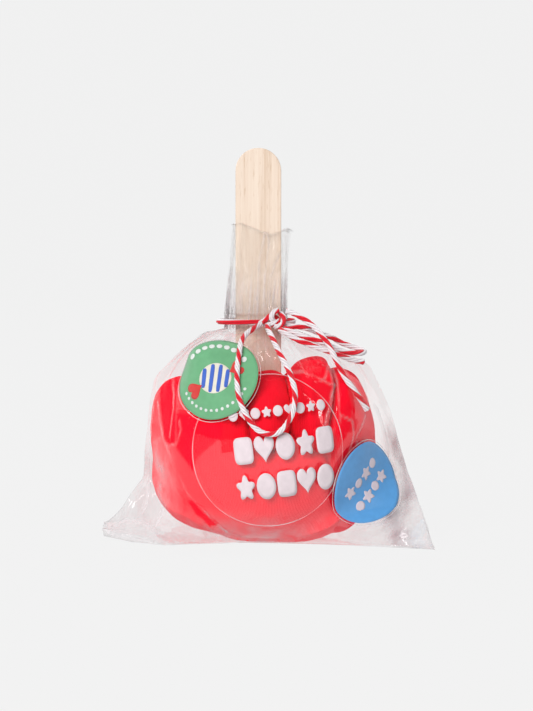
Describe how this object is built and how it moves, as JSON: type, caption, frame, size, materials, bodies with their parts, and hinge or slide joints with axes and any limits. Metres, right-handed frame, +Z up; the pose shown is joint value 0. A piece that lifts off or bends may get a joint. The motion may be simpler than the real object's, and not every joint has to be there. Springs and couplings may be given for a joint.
{
  "type": "candy apple gift of rolled socks",
  "caption": "Gift shaped as a candy apple: rolled red knitted socks on a flat wooden stick, in a clear bag with round stickers, tied at the neck with striped twine in a bow.",
  "frame": {"origin": "middle of the footprint, on the surface that the bag stands on", "axes": "+Z up along the stick, -Y out of the front with the large clear sticker, +X to the right as seen from the front"},
  "size_m": [0.132, 0.0844, 0.154],
  "materials": {
    "birch": "bare and smooth",
    "red_knit": "fine ribbed knit, seen through clear film",
    "clear_film": "thin clear gloss film",
    "green_print": "printed paper under film",
    "blue_print": "printed paper under film",
    "twine": "soft twisted cotton, red and white"
  },
  "bodies": {
    "root": {"stick": "birch", "bag": "red_knit", "sticker_front": "clear_film", "sticker_left": "green_print", "sticker_right": "blue_print", "twine_tie": "twine", "twine_loop_front": "twine", "twine_loop_side": "twine", "twine_end_long": "twine", "twine_end_short": "twine"}
  },
  "joints": []
}
